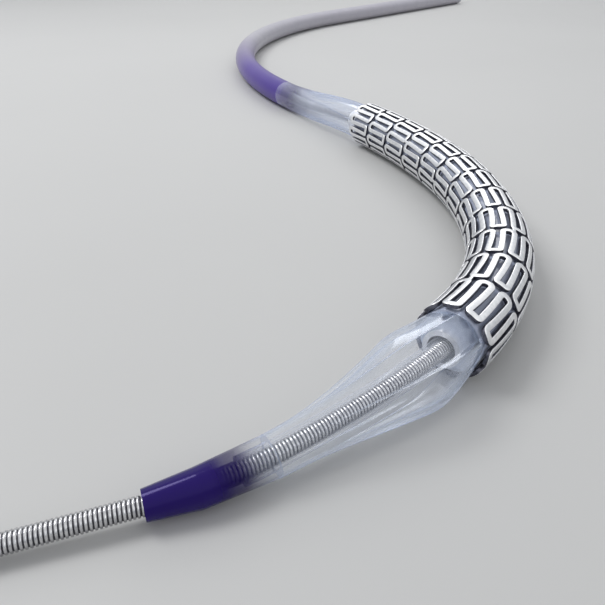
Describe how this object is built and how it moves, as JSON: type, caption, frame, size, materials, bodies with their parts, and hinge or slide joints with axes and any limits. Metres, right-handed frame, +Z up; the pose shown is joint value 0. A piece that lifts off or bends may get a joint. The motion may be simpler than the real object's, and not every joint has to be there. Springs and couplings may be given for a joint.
{
  "type": "vascular stent on its balloon catheter",
  "caption": "Slim metal mesh stent crimped on a folded clear balloon, with a soft purple tip, a purple catheter shaft and a coiled guide wire.",
  "frame": {"origin": "centre of the whole device's bounding box in plan, on the surface that it lies on", "axes": "+Z up from that surface, +Y along the device's long side, from the soft tip's end of the box towards the shaft's end"},
  "size_m": [0.0236, 0.074, 0.0017],
  "materials": {
    "stent_metal": "polished",
    "balloon_film": "glossy, clear",
    "tip_polymer": "satin",
    "tube_polymer": "glossy, clear",
    "marker_metal": "polished",
    "shaft_polymer": "satin",
    "wire_metal": "polished"
  },
  "bodies": {
    "root": {"stent": "stent_metal", "balloon": "balloon_film", "soft_tip": "tip_polymer", "inner_tube": "tube_polymer", "marker_band_tip_side": "marker_metal", "marker_band_shaft_side": "marker_metal", "catheter_shaft": "shaft_polymer", "guide_wire": "wire_metal"}
  },
  "joints": []
}
